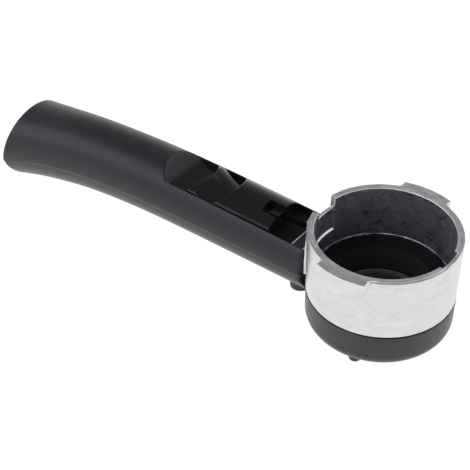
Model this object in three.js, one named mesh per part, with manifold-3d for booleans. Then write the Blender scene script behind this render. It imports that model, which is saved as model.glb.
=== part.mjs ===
// Portafilter: die-cast collar, black base bowl, two-shell handle and a thumb slide.
// Millimetres, +Z up. The collar's axis is the Z axis and the rest plane is z = 0.
// The handle runs along -X. Pieces that touch are modelled 0.3 mm apart.
import * as THREE from "three";
import { mergeVertices } from "three/addons/utils/BufferGeometryUtils.js";
import Module from "manifold-3d";

const wasm = await Module();
wasm.setup();

// ---- driving dimensions ----
const GAP = 0.3;                // between touching pieces
const RIM_Z = 56.4;             // top of the collar above the rest plane
const COLLAR_R = 31;            // outer radius of the collar
const BORE_R = 28.1;            // inside of the collar
const COLLAR_H = 28.4;          // height of the aluminium
const COLLAR_DRAFT = 0.5;       // the collar is this much slimmer at its foot
const CHAMFER = 0.5;            // on both edges of the rim
const LUG_R = 34.2;             // outer radius of the two bayonet lugs
const LUG_HALF_ANGLE = 20.5;    // degrees
const LUG_T = 5;                // lug thickness
const WEB_R = 22.7;             // opening of the collar's inner web
const WEB_T = 2.7;              // web thickness
const PAD_HALF_W = 12.7;        // half width of the handle pad
const PAD_X_TOP = -28.5;        // pad face at the rim
const PAD_X_FOOT = -29.75;      // pad face at the collar's foot
const THIN_R = 30.75;           // outside of the wall between the pad's two edges
const THIN_HALF_W = 10.9;
const NOTCH_HALF_ANGLE = 12.4;  // rim notch and groove over the handle axis
const NOTCH_DEPTH = 5.6;        // notch below the rim
const LEDGE_DEPTH = 15.5;       // groove floor below the rim
const GROOVE_R = 29.35;         // back of the groove
const KEYWAY_HALF_ANGLE = 11.5; // keyway opposite the handle
const KEYWAY_R = 29.3;
const SHELF_X = -36.9;          // rear edge of the shelf behind the pad
const SHELF_DEPTH = 16.7;       // shelf below the rim
const SHELF_HALF_W = 11.3;
const ARM_X = -47;              // end of the arm that the handle is screwed to
const ARM_HALF_W = 8.5;
const ARM_T = 7;
const BOWL_R = 30.6;
const BOWL_Z = 10.7;            // underside of the bowl
const BOWL_FILLET = 6.6;
const BOWL_WALL = 2.5;
const SCREW_CIRCLE_R = 25.8;    // bowl screws
const OUTLET_Y = 16.5;          // the two coffee outlets
const OUTLET_BAR_R = 2.7;
const OUTLET_PLATE_R = 11.5;
const OUTLET_SCREW_X = 8;
const HANDLE_WALL = 2.5;
const HANDLE_END_X = -195.3;
const HANDLE_FRONT_X = -28.4;
const END_TILT = 0.21;          // lean of the handle's end face, mm of X per mm of Z
const SEAM_DROP = 1.5;          // parting line below the handle's centre line
const FRONT_SCREW_X = -38.8;
const FRONT_BOSS_R = 4.6;
const FRONT_BOSS_Z = 8.0;       // foot of the screw boss next to the bowl
const REAR_SCREWS = [-118, -168];
const CHANNEL_HALF_W = 11.6;    // slide channel in the upper shell
const CHANNEL_FLOOR_Z = 37.7;
const CHANNEL_FLOOR_T = 2;
const CHANNEL_REAR_X = -91.2;   // where the thumb scoop begins
const SCOOP_R = 21;
const SLIDE_REAR_X = -90.8;
const SLIDE_FRONT_X = -48.2;
const SLIDE_CLEAR = 0.35;       // slide to channel, each side
const SLIDE_TRAVEL = 6;
const FOOT_X = [-80, -58];      // the slide's two feet, which pass through the channel floor
const FOOT_HALF_W = 2.9;
const PIN_R = 1.2;              // locking pin
const PIN_Z = 41.4;
const PIN_TIP_X = -37.6;      // just clear of the shelf at rest; it passes over it
// handle from the pad to the end: [x, height of the centre, radius]
const STATIONS = [
  [-30, 29.6, 15.4],
  [-60, 30.4, 15.7],
  [-95, 31.0, 15.9],
  [-120, 30.7, 15.95],
  [-146, 29.1, 16.3],
  [-161, 27.2, 16.85],
  [-176, 24.5, 17.7],
  [-196, 20.0, 19.5],
];

// ---- helpers ----
const rad = THREE.MathUtils.degToRad;
const group = new THREE.Group();

function solid(geometry) {
  const bare = geometry.clone();
  bare.deleteAttribute("normal");
  bare.deleteAttribute("uv");
  const g = mergeVertices(bare, 1e-4);
  const mesh = new wasm.Mesh({
    numProp: 3,
    vertProperties: new Float32Array(g.attributes.position.array),
    triVerts: new Uint32Array(g.index.array),
  });
  return new wasm.Manifold(mesh);
}

function join(...bodies) {
  return bodies.reduce((a, b) => a.add(b));
}

function cut(body, ...tools) {
  return tools.reduce((a, b) => a.subtract(b), body);
}

function box(x0, x1, y0, y1, z0, z1) {
  const g = new THREE.BoxGeometry(x1 - x0, y1 - y0, z1 - z0);
  g.translate((x0 + x1) / 2, (y0 + y1) / 2, (z0 + z1) / 2);
  return solid(g);
}

function post(x, y, r, z0, z1, sides = 20) {
  const g = new THREE.CylinderGeometry(r, r, z1 - z0, sides);
  g.rotateX(Math.PI / 2);
  g.translate(x, y, (z0 + z1) / 2);
  return solid(g);
}

// rod along X at y = 0
function rod(x0, x1, z, r, sides = 16) {
  const g = new THREE.CylinderGeometry(r, r, x1 - x0, sides);
  g.rotateZ(Math.PI / 2);
  g.translate((x0 + x1) / 2, 0, z);
  return solid(g);
}

// profile: [radius, z] pairs, turned about the Z axis
function turned(profile, segments = 60) {
  const points = profile.map(([r, z]) => new THREE.Vector2(r, z));
  const g = new THREE.LatheGeometry(points, segments);
  g.rotateX(Math.PI / 2);
  return solid(g);
}

function ring(r0, r1, z0, z1, segments = 60) {
  return turned([[r0, z0], [r1, z0], [r1, z1], [r0, z1], [r0, z0]], segments);
}

// profile in X and Z, pushed along Y from -halfWidth to halfWidth
function prism(points, halfWidth) {
  const shape = new THREE.Shape(points.map(([x, z]) => new THREE.Vector2(x, z)));
  const g = new THREE.ExtrudeGeometry(shape, { depth: 2 * halfWidth, bevelEnabled: false });
  g.rotateX(Math.PI / 2);
  g.translate(0, halfWidth, 0);
  return solid(g);
}

// sector of a ring: centred on an angle, both angles in degrees
function sector(r0, r1, middle, half, z0, z1) {
  const steps = 10;
  const points = [];
  for (let i = 0; i <= steps; i++) {
    const a = rad(middle - half + (2 * half * i) / steps);
    points.push(new THREE.Vector2(r1 * Math.cos(a), r1 * Math.sin(a)));
  }
  for (let i = steps; i >= 0; i--) {
    const a = rad(middle - half + (2 * half * i) / steps);
    points.push(new THREE.Vector2(r0 * Math.cos(a), r0 * Math.sin(a)));
  }
  const shape = new THREE.Shape(points);
  const g = new THREE.ExtrudeGeometry(shape, { depth: z1 - z0, bevelEnabled: false });
  g.translate(0, 0, z0);
  return solid(g);
}

// centre height and radius of the handle at x, on a smooth curve through the stations
const stationLine = new THREE.CatmullRomCurve3(
  STATIONS.map(([x, z, r]) => new THREE.Vector3(x, z, r)),
).getPoints(240);
function handleAt(x) {
  const after = Math.max(1, stationLine.findIndex((p) => p.x <= x));
  const a = stationLine[after - 1];
  const b = stationLine[after];
  const t = (x - a.x) / (b.x - a.x);
  return { z: a.y + (b.y - a.y) * t, r: a.z + (b.z - a.z) * t };
}

// height of the parting line, which drops a little further near the end
function seamAt(x) {
  const end = Math.max(0, -168 - x);
  return handleAt(x).z - SEAM_DROP - 0.0035 * end * end;
}

// Bar that follows the handle from x0 back to x1, smaller than it by inset(x).
// The rings lean towards the end as the end face does. edge rounds the far end, and belly
// rounds it by that much more underneath.
function handleBar(x0, x1, inset, edge = 0, sides = 44, step = 9, belly = 0) {
  const rings = [];
  const start = x1 + edge + belly;
  const count = Math.ceil((x0 - start) / step);
  for (let i = 0; i <= count; i++) rings.push([x0 + ((start - x0) * i) / count, 0]);
  const turns = edge + belly > 1 ? 4 : 1;
  for (let i = 1; i <= turns && edge > 0; i++) rings.push([x1, (i * Math.PI) / (2 * turns)]);
  const pos = [];
  const idx = [];
  for (const [ringX, turn] of rings) {
    const last = turn > 1.5 ? 0.92 : 1;
    for (let k = 0; k < sides; k++) {
      const a = (2 * Math.PI * k) / sides;
      const round = edge + belly * THREE.MathUtils.smoothstep(-Math.cos(a), 0.1, 0.9);
      const x = turn > 0 ? ringX + round * (1 - Math.sin(turn)) : ringX;
      const { z, r } = handleAt(x);
      const R = r - inset(x) - round * (1 - Math.cos(turn)) * last;
      const lean = END_TILT * THREE.MathUtils.smoothstep(-x, 150, 192);
      pos.push(x + lean * R * Math.cos(a), R * Math.sin(a), z + R * Math.cos(a));
    }
  }
  for (let i = 0; i + 1 < rings.length; i++) {
    for (let k = 0; k < sides; k++) {
      const a = i * sides + k;
      const b = i * sides + ((k + 1) % sides);
      idx.push(a, b, a + sides, b, b + sides, a + sides);
    }
  }
  for (const i of [0, rings.length - 1]) {
    const centre = pos.length / 3;
    pos.push(rings[i][0], 0, handleAt(rings[i][0]).z);
    for (let k = 0; k < sides; k++) {
      const a = i * sides + k;
      const b = i * sides + ((k + 1) % sides);
      if (i === 0) idx.push(centre, b, a);
      else idx.push(centre, a, b);
    }
  }
  const g = new THREE.BufferGeometry();
  g.setAttribute("position", new THREE.Float32BufferAttribute(pos, 3));
  g.setIndex(idx);
  return solid(g);
}

// everything above (or below) the handle's parting line, moved by offset
function partingBlock(far, offset) {
  const edge = [];
  for (let x = -30.5; x > -195; x -= 9) edge.push([x, seamAt(x) + offset]);
  edge.push([-195.5, seamAt(-195.5) + offset]);
  const first = edge[0][1];
  const last = edge[edge.length - 1][1] - 1;
  return prism([[-20, first], ...edge, [-202, last], [-202, far], [-20, far]], 40);
}

function add(name, body, colour, roughness, metalness) {
  const m = body.getMesh();
  const g = new THREE.BufferGeometry();
  g.setAttribute("position", new THREE.BufferAttribute(m.vertProperties, 3));
  g.setIndex(new THREE.BufferAttribute(m.triVerts, 1));
  const flat = g.toNonIndexed();
  flat.computeVertexNormals();
  const material = new THREE.MeshStandardMaterial({ color: colour, roughness, metalness });
  const mesh = new THREE.Mesh(flat, material);
  mesh.name = name;
  group.add(mesh);
}

const ALUMINIUM = [0xc9cbcd, 0.4, 1];
const HANDLE_BLACK = [0x1c1c1e, 0.45, 0];
const SLIDE_BLACK = [0x121214, 0.25, 0];
const BOWL_BLACK = [0x2a2a2c, 0.5, 0];
const RUBBER = [0x0e0e0e, 0.85, 0];
const STEEL = [0x8d8f92, 0.35, 1];

// screw driven upwards: the head hangs below headZ, the shank runs up to top
function screw(x, y, headZ, headR, headH, shankR, top) {
  const low = headZ - headH;
  const arm = headR * 0.6;
  return cut(
    join(post(x, y, headR, low, headZ, 18), post(x, y, shankR, headZ - 0.5, top, 12)),
    box(x - arm, x + arm, y - 0.4, y + 0.4, low - 1, low + 0.7),
    box(x - 0.4, x + 0.4, y - arm, y + arm, low - 1, low + 0.7),
  );
}

// ---- collar casting ----
const collarFoot = RIM_Z - COLLAR_H;
const ledgeZ = RIM_Z - LEDGE_DEPTH;
const shelfZ = RIM_Z - SHELF_DEPTH;
const webTop = collarFoot + WEB_T;
const armTop = collarFoot + ARM_T;
let collar = turned([
  [WEB_R, collarFoot],
  [COLLAR_R - COLLAR_DRAFT, collarFoot],
  [COLLAR_R, RIM_Z - CHAMFER],
  [COLLAR_R - CHAMFER, RIM_Z],
  [BORE_R + CHAMFER, RIM_Z],
  [BORE_R, RIM_Z - CHAMFER],
  [BORE_R, webTop],
  [WEB_R, webTop],
  [WEB_R, collarFoot],
], 80);
for (const side of [90, 270]) {
  collar = join(
    collar,
    sector(COLLAR_R - 1, LUG_R, side, LUG_HALF_ANGLE, RIM_Z - LUG_T, RIM_Z),
  );
}
const pad = prism([
  [-24, collarFoot],
  [PAD_X_FOOT, collarFoot],
  [PAD_X_TOP, RIM_Z],
  [-24, RIM_Z],
], PAD_HALF_W);
const shelf = box(SHELF_X, -27, -SHELF_HALF_W, SHELF_HALF_W, armTop - 0.3, shelfZ);
const arm = box(ARM_X, -27, -ARM_HALF_W, ARM_HALF_W, collarFoot, armTop);
collar = cut(join(collar, pad, shelf, arm), post(0, 0, BORE_R, webTop, RIM_Z + 5, 80));
// above the shelf the wall behind the handle is thinner, between two small steps
const thinned = cut(
  box(-40, -20, -THIN_HALF_W, THIN_HALF_W, shelfZ, RIM_Z + 1),
  post(0, 0, THIN_R, shelfZ - 1, RIM_Z + 2, 80),
);
collar = cut(
  collar,
  thinned,
  sector(20, 40, 180, NOTCH_HALF_ANGLE, RIM_Z - NOTCH_DEPTH, RIM_Z + 1),
  sector(20, GROOVE_R, 180, NOTCH_HALF_ANGLE, ledgeZ, RIM_Z),
  sector(20, KEYWAY_R, 0, KEYWAY_HALF_ANGLE, webTop + 3, RIM_Z + 1),
);
const screwSpots = [0, 120, 240].map((a) => [
  SCREW_CIRCLE_R * Math.cos(rad(a)),
  SCREW_CIRCLE_R * Math.sin(rad(a)),
]);
for (const [x, y] of screwSpots) {
  collar = cut(collar, post(x, y, 1.8, collarFoot - 1, webTop + 1));
}
collar = cut(collar, post(FRONT_SCREW_X, 0, 2.3, collarFoot - 1, armTop - 0.5));
add("collar_ring", collar, ...ALUMINIUM);

// ---- base bowl ----
const bowlTop = collarFoot - 0.5;
const bowlInnerR = BOWL_R - BOWL_WALL;
const sealSeat = bowlTop - 1.4;
const bowlProfile = [[0, BOWL_Z]];
const FILLET_STEPS = 6;
const bowlFootR = BOWL_R - 0.35;
for (let i = 0; i <= FILLET_STEPS; i++) {
  const a = (-Math.PI / 2) * (1 - i / FILLET_STEPS);
  bowlProfile.push([
    bowlFootR + BOWL_FILLET * (Math.cos(a) - 1),
    BOWL_Z + BOWL_FILLET * (1 + Math.sin(a)),
  ]);
}
bowlProfile.push(
  [BOWL_R, bowlTop - 0.4],
  [BOWL_R - 0.4, bowlTop],
  [29.7, bowlTop],
  [29.7, sealSeat],
  [bowlInnerR, sealSeat],
  [bowlInnerR, BOWL_Z + BOWL_WALL + 4],
  [bowlInnerR - 4, BOWL_Z + BOWL_WALL],
  [0, BOWL_Z + BOWL_WALL],
);
let bowl = turned(bowlProfile);
for (const [x, y] of screwSpots) {
  const boss = post(x, y, 3, BOWL_Z + 3, collarFoot - GAP);
  const room = join(
    post(0, 0, BOWL_R - 1, BOWL_Z + 2, sealSeat, 60),
    post(0, 0, bowlInnerR, BOWL_Z + 2, collarFoot, 60),
  );
  bowl = join(bowl, boss.intersect(room));
}
for (const [x, y] of screwSpots) {
  bowl = cut(
    bowl,
    post(x, y, 2.6, BOWL_Z - 1, BOWL_Z + 5),
    post(x, y, 1.7, BOWL_Z, collarFoot + 1),
  );
}
const outletScrewTop = BOWL_Z + 5.8;
for (const x of [-OUTLET_SCREW_X, OUTLET_SCREW_X]) {
  bowl = join(bowl, post(x, 0, 3, BOWL_Z + 1, outletScrewTop));
  bowl = cut(bowl, post(x, 0, 1.5, BOWL_Z - 1, outletScrewTop - 1));
}
bowl = cut(bowl, post(0, 0, 3, BOWL_Z - 1, BOWL_Z + 4));
add("base_bowl", bowl, ...BOWL_BLACK);

const gasket = ring(bowlInnerR + 0.2, 29.4, sealSeat + GAP, collarFoot - GAP, 48);
add("bowl_gasket", gasket, ...RUBBER);
for (const [i, [x, y]] of screwSpots.entries()) {
  const body = screw(x, y, BOWL_Z + 4.7, 2.3, 2, 1.3, webTop - 0.4);
  add(`bowl_screw_${i + 1}`, body, ...STEEL);
}

// ---- drain dish, lying on the collar's web ----
const dishFloor = BOWL_Z + 7.8;
const dishR = WEB_R - 0.4;
const DISH_T = 1.2;
const DRAIN_R = 2.4;
const dish = turned([
  [DRAIN_R, dishFloor - DISH_T - 0.3],
  [dishR - 2, dishFloor - DISH_T],
  [dishR, dishFloor + 0.8],
  [dishR, webTop + GAP],
  [BORE_R - 0.3, webTop + GAP],
  [BORE_R - 0.3, webTop + 1.2],
  [dishR - DISH_T + 0.6, webTop + 1.2],
  [dishR - DISH_T, webTop + 0.6],
  [dishR - DISH_T, dishFloor],
  [20.4, dishFloor],
  [20.2, dishFloor + 1.4],
  [19.3, dishFloor + 1.4],
  [19.1, dishFloor],
  [DRAIN_R, dishFloor - 0.3],
  [DRAIN_R, dishFloor - DISH_T - 0.3],
]);
add("drain_dish", dish, ...BOWL_BLACK);

// ---- outlet bar, screwed under the bowl ----
const barTop = BOWL_Z - GAP;
let bar = join(
  turned([
    [0, 0],
    [OUTLET_PLATE_R - 1.5, 0],
    [OUTLET_PLATE_R, 1.5],
    [OUTLET_PLATE_R, barTop],
    [0, barTop],
  ], 40),
  box(-OUTLET_BAR_R, OUTLET_BAR_R, -OUTLET_Y, OUTLET_Y, 0, barTop),
  post(0, -OUTLET_Y, OUTLET_BAR_R, 0, barTop, 24),
  post(0, OUTLET_Y, OUTLET_BAR_R, 0, barTop, 24),
);
bar = cut(bar, box(-1.5, 1.5, -OUTLET_Y, OUTLET_Y, 5.6, barTop + 1));
for (const side of [-1, 1]) {
  bar = cut(
    bar,
    post(0, side * OUTLET_Y, 1.5, -1, barTop + 1),
    post(side * OUTLET_SCREW_X, 0, 2.6, -1, 4.6),
    post(side * OUTLET_SCREW_X, 0, 1.5, -1, barTop + 1),
  );
}
add("outlet_bar", bar, ...BOWL_BLACK);
for (const [i, x] of [-OUTLET_SCREW_X, OUTLET_SCREW_X].entries()) {
  const body = screw(x, 0, 4.3, 2.3, 1.5, 1.2, outletScrewTop - 1.3);
  add(`outlet_screw_${i + 1}`, body, ...STEEL);
}

// ---- handle shells ----
const full = () => 0;
const hollowBy = () => HANDLE_WALL;
const outerUpper = handleBar(HANDLE_FRONT_X, HANDLE_END_X, full, 0.7);
const outerLower = handleBar(HANDLE_FRONT_X, HANDLE_END_X + 0.5, full, 0.6, 44, 9, 5.4);
const inner = handleBar(HANDLE_FRONT_X - 4, HANDLE_END_X + 4.5, hollowBy, 3, 32, 14);
const collarRoom = post(0, 0, COLLAR_R + 0.2, -5, 64, 80);
const armRoom = join(
  box(ARM_X - 0.4, -20, -ARM_HALF_W - 0.4, ARM_HALF_W + 0.4, collarFoot - GAP, armTop + GAP),
  box(SHELF_X - 0.4, -20, -CHANNEL_HALF_W - 0.1, CHANNEL_HALF_W + 0.1, armTop - 0.6, shelfZ + GAP),
);
const padRoom = box(
  PAD_X_FOOT - GAP, -20, -PAD_HALF_W - GAP, PAD_HALF_W + GAP, collarFoot - GAP, 62,
);

// the channel with its thumb scoop
const scoopLine = [];
for (let i = 0; i <= 6; i++) {
  const a = rad(50) * (1 - i / 6);
  scoopLine.push([
    CHANNEL_REAR_X - SCOOP_R * Math.sin(a),
    CHANNEL_FLOOR_Z + 1 + SCOOP_R * (1 - Math.cos(a)),
  ]);
}
const scoopRoom = prism([[-112, 64], [-112, 52], ...scoopLine, [-91, 64]], CHANNEL_HALF_W);
const slideRoom = box(CHANNEL_REAR_X, -20, -CHANNEL_HALF_W, CHANNEL_HALF_W, CHANNEL_FLOOR_Z, 64);
const floorUnder = CHANNEL_FLOOR_Z - CHANNEL_FLOOR_T;
const channelBody = box(-112, -31, -13.6, 13.6, floorUnder, 64).intersect(outerUpper);
const footSlot = box(FOOT_X[0] - 3.4, FOOT_X[1] + 3.4 + SLIDE_TRAVEL, -FOOT_HALF_W - GAP,
  FOOT_HALF_W + GAP, 20, CHANNEL_FLOOR_Z + 1);
const frontRoom = box(SHELF_X - 0.4, -20, -CHANNEL_HALF_W, CHANNEL_HALF_W, 20, 64);
let upper = join(cut(outerUpper, inner), channelBody);
upper = cut(upper, scoopRoom, slideRoom, footSlot, frontRoom);
for (const x of REAR_SCREWS) {
  const c = handleAt(x);
  upper = join(upper, post(x, 0, 4, c.z - 6, c.z + c.r - 1, 16));
}
upper = upper.intersect(partingBlock(80, GAP / 2));
for (const x of REAR_SCREWS) {
  const c = handleAt(x);
  upper = cut(upper, post(x, 0, 1.4, c.z - 10, c.z + 8, 12));
}
upper = cut(upper, armRoom, padRoom, collarRoom);
add("handle_upper_shell", upper, ...HANDLE_BLACK);

let lower = cut(outerLower, inner);
const front = handleAt(FRONT_SCREW_X);
lower = join(lower, post(FRONT_SCREW_X, 0, 5, front.z - front.r + 1, collarFoot - 0.5));
for (const x of REAR_SCREWS) {
  const c = handleAt(x);
  lower = join(lower, post(x, 0, 4.4, c.z - c.r + 1, c.z, 16));
}
lower = lower.intersect(partingBlock(-40, -GAP / 2));
const frontBoss = turned([
  [0, FRONT_BOSS_Z],
  [FRONT_BOSS_R - 1, FRONT_BOSS_Z],
  [FRONT_BOSS_R - 0.3, FRONT_BOSS_Z + 0.3],
  [FRONT_BOSS_R, FRONT_BOSS_Z + 1],
  [FRONT_BOSS_R, FRONT_BOSS_Z + 9],
  [0, FRONT_BOSS_Z + 9],
], 24);
lower = join(lower, frontBoss.translate([FRONT_SCREW_X, 0, 0]));
lower = cut(
  lower,
  post(FRONT_SCREW_X, 0, 3.4, 0, FRONT_BOSS_Z + 5),
  post(FRONT_SCREW_X, 0, 2.2, 0, 32),
);
for (const x of REAR_SCREWS) {
  const c = handleAt(x);
  const skin = c.z - c.r;
  lower = cut(lower, post(x, 0, 3.1, skin - 2, skin + 6), post(x, 0, 1.7, skin, c.z, 12));
}
lower = cut(lower, armRoom, padRoom, collarRoom, box(-220, 0, -40, 40, -20, 0));
add("handle_lower_shell", lower, ...HANDLE_BLACK);

const frontScrewSeat = FRONT_BOSS_Z + 4.7;
const frontScrew = screw(FRONT_SCREW_X, 0, frontScrewSeat, 3.1, 2.2, 1.9, armTop - 1);
add("handle_screw_front", frontScrew, ...STEEL);
for (const [i, x] of REAR_SCREWS.entries()) {
  const c = handleAt(x);
  const body = screw(x, 0, c.z - c.r + 5.7, 2.8, 2, 1.2, c.z + 6);
  add(i === 0 ? "handle_screw_middle" : "handle_screw_rear", body, ...STEEL);
}

// ---- thumb slide ----
const slideHalfW = CHANNEL_HALF_W - SLIDE_CLEAR;
const slideZ = CHANNEL_FLOOR_Z + GAP;
let slide = handleBar(-40, -100, full, 0, 44, 6).intersect(
  box(SLIDE_REAR_X, SLIDE_FRONT_X, -slideHalfW, slideHalfW, slideZ, 64),
);
// two grips, each a concave face that the thumb pushes against
const REAR_GRIP = { x: -85.9, r: 13.6 };
const FRONT_GRIP = { x: -71.6, r: 15 };
const gripWall = ({ x, r }, z) => post(x - r, 0, r, z, 64, 56);
const dentDepth = (x) => THREE.MathUtils.clamp(0.3 * (x + 90), 0, 5);
const dentFloor = handleBar(-60, -96, dentDepth, 0, 44, 6);
const dent = cut(gripWall(FRONT_GRIP, 30), dentFloor);
const underside = join(
  box(FOOT_X[0] + 5, FOOT_X[1] - 5, -slideHalfW + 2, slideHalfW - 2, 20, slideZ + 1.7),
  box(FOOT_X[0] + 5, SLIDE_FRONT_X - 3, FOOT_HALF_W + 1, slideHalfW - 2, 20, slideZ + 2.5),
  box(FOOT_X[0] + 5, SLIDE_FRONT_X - 3, -slideHalfW + 2, -FOOT_HALF_W - 1, 20, slideZ + 2.5),
);
// spring finger: a slot round three sides of a tab in the crown
const fingerSlot = cut(
  box(-55.6, -40, -6.2, 0.8, slideZ + 5.9, 64),
  box(-52.9, -40, -4.6, -0.8, 30, 72),
);
slide = cut(slide, gripWall(REAR_GRIP, CHANNEL_FLOOR_Z + 2.2), dent, underside, fingerSlot);
for (const x of FOOT_X) {
  slide = join(slide, box(x - 3, x + 3, -FOOT_HALF_W, FOOT_HALF_W, floorUnder - 0.2, slideZ + 3.5));
}
slide = cut(slide, rod(SLIDE_FRONT_X - 6, -40, PIN_Z, PIN_R + GAP));
for (const x of FOOT_X) slide = cut(slide, post(x, 0, 1.4, 20, slideZ + 2.5, 12));
add("thumb_slide", slide, ...SLIDE_BLACK);
add("lock_pin", rod(SLIDE_FRONT_X - 5.6, PIN_TIP_X, PIN_Z, PIN_R), ...SLIDE_BLACK);

const keeperTop = floorUnder - 0.5;
let keeper = box(FOOT_X[0] - 4, FOOT_X[1] + 4, -6, 6, keeperTop - 1.2, keeperTop);
for (const x of FOOT_X) keeper = cut(keeper, post(x, 0, 1.6, 20, 62, 16));
add("slide_keeper", keeper, ...STEEL);
for (const [i, x] of FOOT_X.entries()) {
  add(`slide_screw_${i + 1}`, screw(x, 0, keeperTop - 1.5, 2.4, 1.5, 1.1, slideZ + 1.9), ...STEEL);
}

export default group;
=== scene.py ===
# Portafilter: the looks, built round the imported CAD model. Shapes are worked out in
# millimetres and scaled to metres when a piece is made.
import math

import bmesh
import bpy
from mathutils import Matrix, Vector


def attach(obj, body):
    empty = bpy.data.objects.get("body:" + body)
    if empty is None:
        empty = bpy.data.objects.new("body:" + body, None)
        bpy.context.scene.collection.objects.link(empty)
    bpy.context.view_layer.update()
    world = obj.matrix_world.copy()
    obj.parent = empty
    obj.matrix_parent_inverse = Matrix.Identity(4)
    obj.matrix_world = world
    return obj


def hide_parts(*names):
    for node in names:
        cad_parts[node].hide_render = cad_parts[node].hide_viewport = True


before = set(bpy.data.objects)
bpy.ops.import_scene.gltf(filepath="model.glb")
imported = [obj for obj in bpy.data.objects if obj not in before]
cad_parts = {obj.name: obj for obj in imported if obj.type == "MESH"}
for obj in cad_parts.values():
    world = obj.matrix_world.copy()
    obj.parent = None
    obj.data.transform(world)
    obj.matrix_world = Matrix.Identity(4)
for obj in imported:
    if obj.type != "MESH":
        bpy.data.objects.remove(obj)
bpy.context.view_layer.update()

MM = 0.001
GAP = 0.3                       # between touching pieces

# collar, whose axis is the Z axis
RIM_Z = 56.4
COLLAR_R = 31.0
BORE_R = 28.1
COLLAR_FOOT = RIM_Z - 28.4
COLLAR_DRAFT = 0.5              # the collar is this much slimmer at its foot
LUG_R = 34.2
LUG_T = 5.0
LUG_ANGLES = (90, 270)
LUG_HALF = 22.3                 # degrees from a lug's middle to the foot of its end slope
LUG_SLOPE = 4.2                 # degrees that the slope takes
WEB_R = 22.7                    # opening of the web inside the collar's foot
WEB_TOP = COLLAR_FOOT + 2.7
PAD_HALF_W = 12.7               # flat pad towards the handle
PAD_X_TOP = -28.5
PAD_X_FOOT = -29.75
THIN_R = 30.75                  # wall between the pad's two edges
THIN_HALF_W = 10.9
NOTCH_HALF = 12.4               # degrees either side of the handle's axis
NOTCH_Z = RIM_Z - 5.6
LEDGE_Z = RIM_Z - 15.5          # floor of the groove inside the notch
GROOVE_R = 29.35
KEYWAY_HALF = 11.5              # degrees, opposite the handle
KEYWAY_R = 29.3
SHELF_X = -36.9                 # rear edge of the shelf behind the pad
SHELF_Z = RIM_Z - 16.7
SHELF_HALF_W = 11.3
ARM_X = -47.0                   # end of the arm that the handle is screwed to
ARM_TOP = COLLAR_FOOT + 7.0
ARM_HALF_W = 8.5

# bowl, dish and outlets
BOWL_R = 30.6
BOWL_Z = 10.7
BOWL_WALL = 2.5
BOWL_FILLET = 6.6
BOWL_TOP = COLLAR_FOOT - 0.5
SEAL_SEAT = BOWL_TOP - 1.4      # the gasket lies on it
SEAL_SEAT_R = 29.7
SCREW_CIRCLE_R = 25.8
BOWL_SCREWS = [(SCREW_CIRCLE_R * math.cos(math.radians(120 * k)),
                SCREW_CIRCLE_R * math.sin(math.radians(120 * k))) for k in range(3)]
DISH_FLOOR = BOWL_Z + 7.8
DISH_R = WEB_R - 0.4
DRAIN_R = 2.4
RING_IN_R = 19.1                # raised ring on the dish's floor
RING_OUT_R = 20.4
OUTLET_Y = 16.5
OUTLET_R = 1.5
OUTLET_BAR_R = 2.7
OUTLET_PLATE_R = 11.5
OUTLET_SCREWS = (-8.0, 8.0)

# handle, which runs along -X
HANDLE_END_X = -195.3
HANDLE_FRONT_X = -28.4
HANDLE_WALL = 2.5
NECK_X = -29.3
NECK_EDGE = 2.3                 # rounding of the neck's edge
END_TILT = 0.21                 # lean of the end face
END_EDGE = 0.7                  # rounding of the upper shell's end
LOWER_END_X = HANDLE_END_X + 0.5
SEAM_DROP = 1.5                 # parting line below the handle's centre line
SEAM_FALL_X = -168.0            # beyond it the line falls away
SEAM_FALL = 0.0035
SEAM_HALF = 0.025               # half of the gap between the shells
HEM_R = 0.15                    # rounding of the upper shell's lower edge
CHAMFER_W = 0.25                # chamfer on the lower shell's upper edge
CHAMFER_H = 0.3
CHAMFER_BEAD = 0.09             # its foot stands this much proud of the outline
FRONT_SCREW_X = -38.8
FRONT_BOSS_R = 4.6
FRONT_BOSS_Z = 8.0
REAR_SCREWS = (-118.0, -168.0)

# channel in the upper shell, and the slide in it
CHANNEL_HALF_W = 11.6
CHANNEL_FLOOR_Z = 37.7
CHANNEL_REAR_X = -91.2
SCOOP_R = 21.0
SCOOP_TIP = math.radians(50)
SCOOP_END_X = -111.0            # the shell is hollow to its crown beyond it
SCOOPED_R = 14.6                # all that is nearer the handle's middle is channel or scoop
CHANNEL_MIDDLE_Z = 31.0
SLIDE_Z = CHANNEL_FLOOR_Z + GAP
SLIDE_REAR_X = -90.8
SLIDE_FRONT_X = -48.2
SLIDE_HALF_W = CHANNEL_HALF_W - 0.35
SLIDE_EDGE = 0.35               # rounding along the slide's two long edges
SLIDE_SLOPE = 0.56              # steepest slope across the slide's -Y side
REAR_GRIP_X, REAR_GRIP_R = -85.9, 13.6
FRONT_GRIP_X, FRONT_GRIP_R = -71.6, 15
SLIDE_TRAVEL = 6.0
FOOT_X = (-80.0, -58.0)
FOOT_HALF_W = 2.9
KEEPER_TOP = CHANNEL_FLOOR_Z - 2.5
PIN_R = 1.2
PIN_Z = 41.4
PIN_TIP_X = -37.6

SHARP_ANGLE = math.radians(32)  # edges sharper than this stay sharp in the shading

# handle stations: x, centre height, radius
STATIONS = (
    (-30.0, 29.6, 15.4),
    (-60.0, 30.4, 15.7),
    (-95.0, 31.0, 15.9),
    (-120.0, 30.7, 15.95),
    (-146.0, 29.1, 16.3),
    (-161.0, 27.2, 16.85),
    (-176.0, 24.5, 17.7),
    (-196.0, 20.0, 19.5),
)


# ---------------------------------------------------------------- shape helpers
def mix(a, b, t):
    return a + (b - a) * t


def clamp(v, lo=0.0, hi=1.0):
    return max(lo, min(hi, v))


def smooth(a, b, v):
    t = clamp((v - a) / (b - a))
    return t * t * (3 - 2 * t)


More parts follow.
